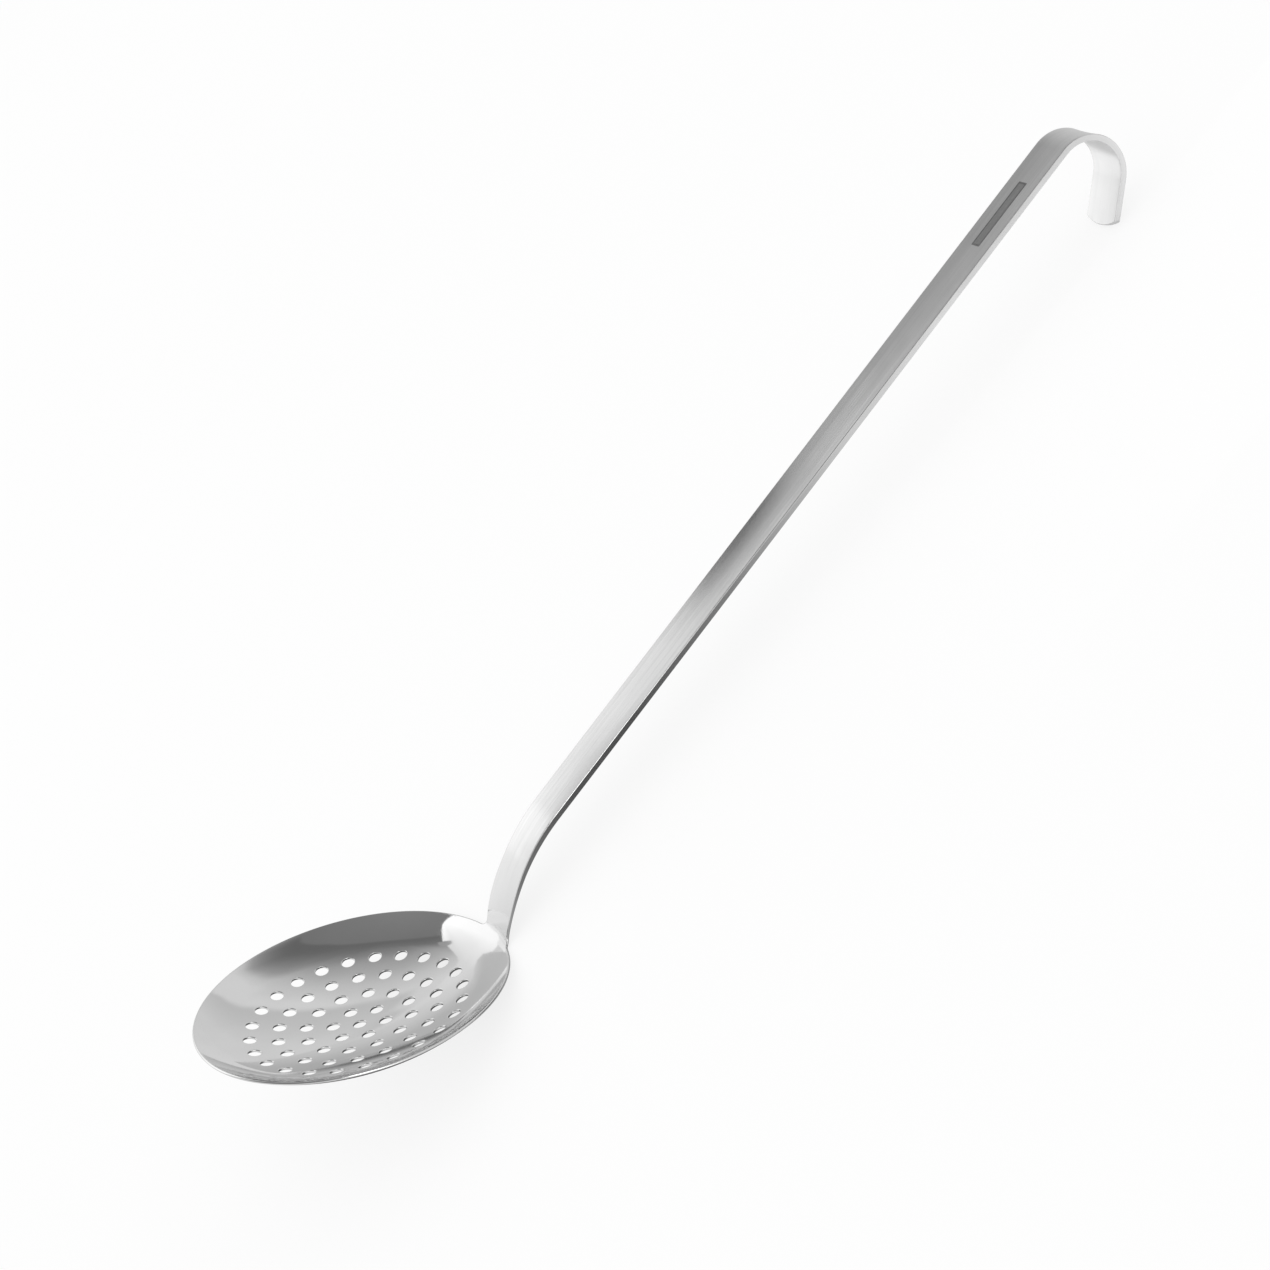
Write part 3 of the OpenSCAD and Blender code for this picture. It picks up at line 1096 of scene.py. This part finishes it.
@dataclass
class SatinSteel(SteelBase):
    """The strip's satin: brushed lengthwise, glossier near the bowl, duller up the handle with painted shade
    there, worn at the hook.

    Each change is given by where it starts and ends, in millimetres from the bowl's middle as laid flat. A
    plain etched bar lies near the hook.
    """

    name: str = "satin_steel"
    roughness: float = 0.06
    light: float = 1.04
    brushed: float = 0.6
    patch_size: float = 24.0
    polish_to_satin: Pair = (60.0, 100.0)
    # Up the handle the satin turns rougher, and its colour darker as painted shade.
    satin_to_dull_and_shade: Pair = (230.0, 390.0)
    satin_to_worn: Pair = (425.0, 445.0)
    worn_brush: float = 0.35
    brush_depth: float = 2.2
    bar_at: Pair = (394.3, 0.0)
    bar_half: Pair = (15.2, 2.8)
    bar_corner: float = 0.5
    bar_soft: Pair = (0.3, 0.65)
    bar_border: float = 0.9
    bar_faded: float = 0.28
    bar_grain: Grain = Grain(along=1.4, across=0.9, detail=2, seed=3.0)
    rough_by: Weights = (
        (Feature.BRUSHED, 0.12), (Feature.DULL_AND_SHADE, 0.24), (Feature.LINES, 0.07), (Feature.SHADES, 0.03),
        (Feature.SATIN, -0.05), (Feature.SCRATCHES, 0.06), (Feature.PATCHES, 0.02), (Feature.BAR, 0.12),
        (Feature.WEAR, -0.06),
    )
    # The darkening up the handle is painted shade; the other terms are the steel's own marks and grain.
    light_by: Weights = (
        (Feature.LINES, -0.065), (Feature.SHADES, -0.03), (Feature.PATCHES, -0.02), (Feature.DULL_AND_SHADE, -0.07),
        (Feature.BAR, -0.55),
    )
    height_by: Weights = ((Feature.RELIEF, 1.0), (Feature.SCRATCHES, -5e-7), (Feature.BAR, -2e-5))

    def block(self, margin: float) -> bpy.types.NodeSocket:
        """The bar's outline drawn in by a margin, as a soft mask.

        Args:
            margin: how far inside the outline the mask ends, in millimetres.

        Returns:
            The mask.
        """
        b = self.bench
        spot = b.vector(Op.MULTIPLY, self.flat, (PER_METRE, PER_METRE, 0))
        out = b.vector(Op.ABSOLUTE, b.vector(Op.ADD, spot, (-self.bar_at[0], -self.bar_at[1], 0)))
        inset = self.bar_corner + margin
        rest = b.vector(Op.ADD, out, (inset - self.bar_half[0], inset - self.bar_half[1], 0))
        far = b.vector(Op.LENGTH, b.vector(Op.MAXIMUM, rest, (0, 0, 0)))
        return b.span(far, *self.bar_soft, to_low=1.0, to_high=0.0)

    def bar(self) -> bpy.types.NodeSocket:
        """The etched bar as a mask, weaker inside its border and grainy all over.

        Returns:
            The mask.
        """
        b = self.bench
        inside = b.weighed(1.0, (self.block(self.bar_border), -self.bar_faded))
        grainy = b.span(b.stretched(self.flat, self.bar_grain), low=0.2, high=0.6, to_low=0.8, to_high=1.0)
        return b.math(Op.MULTIPLY, b.math(Op.MULTIPLY, self.block(0.0), inside), grainy)

    def material(self) -> bpy.types.Material:
        """Makes the material.

        Returns:
            The material.
        """
        self.start()
        b = self.bench
        along = b.math(Op.MULTIPLY, b.node("SeparateXYZ", self.flat).outputs[0], PER_METRE)
        brushed = b.span(along, *self.polish_to_satin)
        satin = b.math(Op.MULTIPLY, brushed, b.span(along, *self.satin_to_worn, 1.0, self.worn_brush))
        brush = self.use(self.effects.brushing, Depth=self.brush_depth)
        features = {
            Feature.BRUSHED: brushed,
            Feature.SATIN: satin,
            Feature.DULL_AND_SHADE: b.span(along, *self.satin_to_dull_and_shade),
            Feature.LINES: b.math(Op.MULTIPLY, brush.outputs["Lines"], satin),
            Feature.SHADES: b.math(Op.MULTIPLY, brush.outputs["Shades"], satin),
            Feature.RELIEF: b.math(Op.MULTIPLY, brush.outputs["Height"], satin),
            Feature.BAR: self.bar(),
        }
        return self.finish({**features, **self.marks()})


@dataclass(frozen=True)
class Camera:
    """The photograph's view: its place in millimetres, its directions and its lens."""

    place: Triple = (-92.84, -923.15, 562.73)
    forward: Triple = (0.068407, 0.868051, -0.49174)
    up: Triple = (0.758366, 0.275015, 0.590972)
    lens: float = 80.93
    sensor: float = 36.0
    sees_to: float = 20.0

    def build(self) -> bpy.types.Object:
        """Makes the camera and sets it as the scene's.

        Returns:
            The camera.
        """
        data = bpy.data.cameras.new("camera")
        data.lens = self.lens
        data.sensor_width = self.sensor
        data.clip_end = self.sees_to
        camera = bpy.data.objects.new("camera", data)
        bpy.context.scene.collection.objects.link(camera)
        back = -Vector(self.forward).normalized()
        right = Vector(self.up).cross(back).normalized()
        turn = Matrix((right, back.cross(right), back)).transposed().to_4x4()
        camera.matrix_world = Matrix.Translation(Vector(self.place) * MM) @ turn
        bpy.context.scene.camera = camera
        return camera


def glow(name: str) -> bpy.types.Material:
    """Makes a card's material, which gives light as bright as its points say, and takes none.

    Args:
        name: the material's name.

    Returns:
        The material.
    """
    paint = bpy.data.materials.new(name)
    paint.use_nodes = True
    paint.node_tree.nodes.clear()
    bench = Bench(paint.node_tree)
    shade = bench.node("Attribute", attribute_name=SHADE)
    light = bench.node("Emission", shade.outputs["Color"])
    bench.node("OutputMaterial", light.outputs[0])
    return paint


@dataclass(frozen=True)
class Card:
    """A card in the studio, which only mirrors in the steel: its points in metres, with the brightness at each.

    Where no faces are given, the points are the corners of one face in turn.
    """

    name: str
    points: Sequence[Triple]
    shades: Sequence[float]
    faces: Sequence[Polygon] = ()

    def build(self) -> bpy.types.Object:
        """Stands the card.

        Returns:
            The card's object.
        """
        faces = self.faces or [tuple(range(len(self.points)))]
        mesh = bpy.data.meshes.new(self.name)
        mesh.from_pydata([tuple(point) for point in self.points], [], list(faces))
        layer = mesh.color_attributes.new(SHADE, "FLOAT_COLOR", "POINT")
        layer.data.foreach_set("color", [v for shade in self.shades for v in (shade, shade, shade, 1.0)])
        card = bpy.data.objects.new(self.name, mesh)
        bpy.context.scene.collection.objects.link(card)
        mesh.materials.append(glow(self.name))
        card.visible_camera = card.visible_diffuse = card.visible_shadow = False
        card.visible_transmission = card.visible_volume_scatter = False
        return card


@dataclass(frozen=True)
class Tent:
    """The tent round the skimmer: a dark roof, a pale wall and a grey skirt, by direction from the bowl.

    Turns and rises are azimuths and elevations in degrees. The wall darkens upwards at the hem, the roof starts
    at the seam, and the skirt hangs below the ledge. A fold gives the wall's brightness by the rise over the
    hem. From right_from to right_to the right fold takes over from the left one, and the slot has its own.
    """

    centre: Triple = (-0.19, 0.0, 0.03)
    reach: float = 1.7
    hem: Sequence[Pair] = (
        (-90, 52), (-40, 50), (-20, 46), (-10, 38), (-4, 31), (0, 28.2), (10, 27.8), (20, 32), (30, 34.3),
        (40, 36.7), (50, 40.2), (60, 40), (73.7, 41), (74.3, 29.3), (78, 29.3), (81, 32), (112, 33), (118, 60),
        (180, 56), (270, 52),
    )
    seam: Sequence[Pair] = (
        (-90, 60), (-40, 56), (-10, 46), (0, 45.5), (20, 50), (60, 50), (112, 52), (120, 80), (240, 78),
        (270, 60),
    )
    ledge: Sequence[Pair] = (
        (-90, -30), (5, -30), (15, 3), (25, 13.5), (35, 18), (45, 21.5), (60, 26), (66, 26), (71, 10),
        (76, -10), (112, -10), (140, -30), (270, -30),
    )
    left_fold: Sequence[Pair] = (
        (-8, 0.92), (-4, 0.78), (-2, 0.6), (0, 0.456), (4, 0.33), (8, 0.25), (12, 0.2), (16, 0.185),
    )
    right_fold: Sequence[Pair] = (
        (-14, 0.92), (-8, 0.76), (-4, 0.59), (-1.5, 0.52), (0, 0.456), (1.5, 0.35), (4, 0.24), (8, 0.2),
        (12, 0.19),
    )
    slot_fold: Sequence[Pair] = ((-4, 0.92), (-1, 0.8), (1, 0.25), (4, 0.12))
    right_from: float = 32.0
    right_over: float = 14.0
    right_to: float = 150.0
    slot: Pair = (74.0, 115.0)
    roof_rises: Pair = (50.0, 80.0)
    roof: Pair = (0.25, 0.31)
    skirt_falls: Pair = (0.0, 16.0)
    skirt: Pair = (0.71, 0.87)
    seam_soft: float = 1.5
    ledge_soft: float = 2.0
    turn_spans: Sequence[Triple] = ((-90.0, 72.0, 2.0), (72.0, 76.0, 0.5), (76.0, 270.1, 2.0))
    rise_spans: Sequence[Triple] = ((-6.0, 58.0, 0.75), (58.0, 90.1, 4.0))

    def shade(self, turn: np.ndarray, rise: np.ndarray) -> np.ndarray:
        """Brightness in a direction.

        Args:
            turn: azimuths in degrees.
            rise: elevations in degrees.

        Returns:
            The brightness, where 1 is white.
        """
        hem, seam, ledge = (np.interp(turn, *zip(*line)) for line in (self.hem, self.seam, self.ledge))
        folds = (self.left_fold, self.right_fold, self.slot_fold)
        left, right, slot = (np.interp(rise - hem, *zip(*fold)) for fold in folds)
        turned = np.clip((turn - self.right_from) / self.right_over, 0, 1) * (turn < self.right_to)
        wall = left * (1 - turned) + right * turned
        wall = np.where((turn > self.slot[0]) & (turn < self.slot[1]), slot, wall)
        roof = np.interp(rise, self.roof_rises, self.roof)
        mix = np.clip((rise - seam) / self.seam_soft, 0, 1)
        upper = wall * (1 - mix) + roof * mix
        skirt = np.interp(ledge - rise, self.skirt_falls, self.skirt)
        step = np.clip((ledge - rise + self.ledge_soft / 2) / self.ledge_soft, 0, 1)
        return upper * (1 - step) + skirt * step

    def build(self) -> bpy.types.Object:
        """Makes the tent as a dome of points round the bowl.

        Returns:
            The tent.
        """
        turns = np.concatenate([np.arange(*span) for span in self.turn_spans])
        rises = np.concatenate([np.arange(*span) for span in self.rise_spans])
        turn, rise = np.meshgrid(turns, rises, indexing="ij")
        t, r = np.radians(turn), np.radians(rise)
        rays = np.stack([np.cos(t) * np.cos(r), np.sin(t) * np.cos(r), np.sin(r)], -1)
        points = rays.reshape(-1, 3) * self.reach + np.array(self.centre)
        n = len(rises)
        cells = [i * n + j for i in range(len(turns) - 1) for j in range(n - 1)]
        faces = [(cell, cell + 1, cell + n + 1, cell + n) for cell in cells]
        return Card("tent", points.tolist(), self.shade(turn, rise).ravel().tolist(), faces).build()


@dataclass(frozen=True)
class FrontStrip:
    """A strip on the floor in front of the handle, dark beside the bowl and white beside the hook.

    Each step is a distance along the handle and the brightness there.
    """

    steps: Sequence[Pair] = (
        (-0.14, 0.5), (-0.12, 0.24), (-0.085, 0.12), (-0.045, 0.09), (-0.015, 0.17), (0.02, 0.3), (0.05, 0.5),
        (0.08, 0.73), (0.13, 1.02), (0.16, 1.2), (0.33, 1.28),
    )
    across: Pair = (-0.16, -0.012)
    height: float = 0.0004

    def build(self) -> bpy.types.Object:
        """Makes the strip.

        Returns:
            The strip.
        """
        points = [(x, y, self.height) for x, _ in self.steps for y in self.across]
        shades = [shade for _, shade in self.steps for _ in self.across]
        faces = [(2 * i, 2 * i + 2, 2 * i + 3, 2 * i + 1) for i in range(len(self.steps) - 1)]
        return Card("front_strip", points, shades, faces).build()


@dataclass(frozen=True)
class BackBoard:
    """The cards behind the skimmer: a white panel over a grey arch, between light strips.

    Each card is its name, how far it stands in front of the board, and its corners in turn: distance along the
    board, height and brightness.
    """

    y: float = 0.6
    cards: Sequence[Tuple[str, float, Sequence[Triple]]] = (
        ("panel_right", 0.0, (
            (-0.1, 0.3, 1.15), (0.0, 0.3, 1.0), (0.02, 0.36, 1.0), (0.026, 0.46, 1.0), (0.035, 0.66, 1.25),
            (0.015, 0.76, 1.5), (-0.005, 0.85, 1.6), (-0.025, 0.92, 1.6), (-0.06, 1.02, 1.6), (-0.1, 1.08, 1.6),
        )),
        ("panel_left", 0.0, (
            (-0.36, 0.28, 1.4), (-0.2, 0.28, 1.42), (-0.1, 0.3, 1.14), (-0.1, 1.08, 1.6), (-0.16, 1.12, 1.6),
            (-0.28, 1.1, 1.6), (-0.36, 1.0, 1.6),
        )),
        ("arch", 0.01, (
            (-0.205, 0.04, 0.68), (-0.015, 0.04, 0.6), (-0.02, 0.2, 0.84), (-0.035, 0.28, 0.85),
            (-0.065, 0.325, 0.78), (-0.105, 0.335, 0.74), (-0.145, 0.295, 0.7), (-0.185, 0.2, 0.7),
            (-0.205, 0.1, 0.7),
        )),
        ("strip_right", 0.005, (
            (-0.05, 0.04, 0.5), (0.06, 0.04, 0.66), (0.06, 0.12, 0.72), (0.04, 0.2, 0.95), (0.02, 0.36, 1.0),
            (0.0, 0.3, 1.0), (-0.05, 0.3, 1.0),
        )),
        ("strip_left", 0.005, (
            (-0.31, 0.04, 0.95), (-0.19, 0.04, 0.9), (-0.19, 0.15, 1.15), (-0.19, 0.3, 1.18),
            (-0.31, 0.3, 1.12),
        )),
        ("side_left", -0.01, (
            (-0.85, -0.05, 0.95), (-0.3, -0.05, 0.9), (-0.3, 0.3, 1.2), (-0.3, 0.42, 1.35), (-0.85, 0.42, 1.2),
        )),
        ("far_left", -0.02, (
            (-0.95, 0.4, 1.3), (-0.34, 0.4, 1.4), (-0.34, 0.6, 1.75), (-0.34, 1.3, 1.7), (-0.95, 1.5, 1.75),
        )),
        ("kerb_left", 0.0, (
            (-0.32, -0.05, 1.1), (-0.09, -0.05, 1.25), (-0.09, 0.04, 1.25), (-0.32, 0.04, 1.1),
        )),
        ("kerb_right", 0.0, (
            (-0.09, -0.05, 0.9), (-0.06, -0.05, 0.5), (0.06, -0.05, 0.55), (0.06, 0.04, 0.66),
            (-0.06, 0.04, 0.5), (-0.09, 0.04, 0.9),
        )),
        ("notch", 0.01, (
            (0.06, 0.64, 0.45), (0.02, 0.638, 0.45), (-0.012, 0.615, 0.5), (0.0, 0.575, 0.5),
            (0.03, 0.55, 0.45), (0.06, 0.55, 0.45),
        )),
    )

    def build(self) -> List[bpy.types.Object]:
        """Makes the cards.

        Returns:
            The cards in turn.
        """
        return [
            Card(name, [(x, self.y - nearer, z) for x, z, _ in spots], [shade for *_, shade in spots]).build()
            for name, nearer, spots in self.cards
        ]


@dataclass(frozen=True)
class UnderShade:
    """A painted shadow: the soft dark round on the floor under the bowl, which the steel mirrors in the walls
    of its holes.

    Each ring is a radius and the brightness there.
    """

    centre: Triple = (-0.19, 0.0, 0.0003)
    # The rings' brightness is painted shadow, darkest under the bowl's middle.
    rings: Sequence[Pair] = ((0.03, 0.1), (0.045, 0.18), (0.06, 0.45), (0.08, 0.75), (0.11, 0.86))
    sides: int = 36

    def build(self) -> bpy.types.Object:
        """Makes the round as rings of points about its centre.

        Returns:
            The round.
        """
        n, (x, y, z) = self.sides, self.centre
        turns = np.linspace(0, 2 * math.pi, n, endpoint=False)
        points, shades = [self.centre], [self.rings[0][1]]
        for reach, shade in self.rings:
            points += [(x + reach * math.cos(a), y + reach * math.sin(a), z) for a in turns]
            shades += [shade] * n
        faces: List[Polygon] = [(0, 1 + i, 1 + (i + 1) % n) for i in range(n)]
        for start in range(1, 1 + n * (len(self.rings) - 1), n):
            nexts = [(i, (i + 1) % n) for i in range(n)]
            faces += [(start + i, start + n + i, start + n + j, start + j) for i, j in nexts]
        return Card("under_bowl_painted_shadow", points, shades, faces).build()


@dataclass(frozen=True)
class Studio:
    """A pale floor under soft light, and the cards that the steel mirrors.

    The floor's lit share is plain white to the camera, and a little less in the steel, by the mirrored loss.
    The rest is matt paint, which takes the soft shadow.
    """

    floor_size: float = 12.0
    floor_colour: Triple = (0.92, 0.92, 0.92)
    lit: float = 0.8
    mirrored_loss: float = 0.14
    world_light: float = 1.0
    edge_light: Card = Card(
        "edge_light",
        ((-0.16, -0.5, 0.1), (-0.06, -0.5, 0.1), (0.02, -0.5, 0.1), (0.02, -0.5, 0.7), (-0.06, -0.5, 0.7),
         (-0.16, -0.5, 0.7)),
        (3.4, 3.0, 1.0, 1.0, 3.0, 3.4),
    )
    behind_tail: Card = Card(
        "behind_tail",
        ((0.165, 0.045, 0.002), (0.225, 0.045, 0.002), (0.225, 0.045, 0.042), (0.165, 0.045, 0.042)),
        (1.72, 1.72, 1.72, 1.72),
    )

    def floor_paint(self) -> bpy.types.Material:
        """Makes the floor's matt paint, which the camera and the steel see as white under a soft shadow.

        Returns:
            The paint.
        """
        paint = bpy.data.materials.new("floor_paint")
        paint.use_nodes = True
        bench = Bench(paint.node_tree)
        matt = paint.node_tree.nodes["Principled BSDF"]
        matt.inputs["Base Color"].default_value = (*self.floor_colour, 1)
        matt.inputs["Roughness"].default_value = 1
        rays = bench.node("LightPath").outputs
        strength = bench.weighed(1.0, (rays["Is Glossy Ray"], -self.mirrored_loss))
        white = bench.node("Emission", (1, 1, 1, 1), strength)
        seen = bench.math(Op.MAXIMUM, rays["Is Camera Ray"], rays["Is Glossy Ray"])
        seen = bench.math(Op.MAXIMUM, seen, rays["Is Transmission Ray"])
        share = bench.math(Op.MULTIPLY, seen, self.lit)
        mixed = bench.node("MixShader", share, matt.outputs[0], white.outputs[0])
        bench.feed(paint.node_tree.nodes["Material Output"].inputs["Surface"], mixed.outputs[0])
        return paint

    def lay_floor(self) -> bpy.types.Object:
        """Lays the floor.

        Returns:
            The floor.
        """
        h = self.floor_size / 2
        mesh = bpy.data.meshes.new("floor")
        mesh.from_pydata([(-h, -h, 0), (h, -h, 0), (h, h, 0), (-h, h, 0)], [], [(0, 1, 2, 3)])
        floor = bpy.data.objects.new("floor", mesh)
        bpy.context.scene.collection.objects.link(floor)
        mesh.materials.append(self.floor_paint())
        return floor

    def light_world(self) -> None:
        """Lights the scene evenly from all sides."""
        world = bpy.data.worlds.new("studio")
        bpy.context.scene.world = world
        world.use_nodes = True
        background = world.node_tree.nodes["Background"]
        background.inputs["Color"].default_value = (1, 1, 1, 1)
        background.inputs["Strength"].default_value = self.world_light

    def build(self) -> List[bpy.types.Object]:
        """Makes the floor, the light and the cards.

        Returns:
            The floor and the cards in turn.
        """
        floor = self.lay_floor()
        self.light_world()
        cards = [Tent().build(), *BackBoard().build(), FrontStrip().build(), UnderShade().build()]
        return [floor, *cards, self.edge_light.build(), self.behind_tail.build()]


def main() -> None:
    """Builds the camera, the studio and the skimmer with its finishes, and reports each piece."""
    logging.basicConfig(level=logging.INFO, format="%(name)s: %(message)s")
    bpy.context.scene.view_settings.view_transform = "Standard"
    LOG.info("camera: lens %.2f mm", Camera().build().data.lens)
    for staged in Studio().build():
        LOG.info("stage %s: %d faces", staged.name, len(staged.data.polygons))
    sheet = SkimmerSheet()
    piece = sheet.build()
    sheet.dress(piece, Effects())
    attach(piece, "root")
    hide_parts(NODE)
    LOG.info("piece %s: %d points, %d faces", piece.name, len(piece.data.vertices), len(piece.data.polygons))


if __name__ == "__main__":
    main()
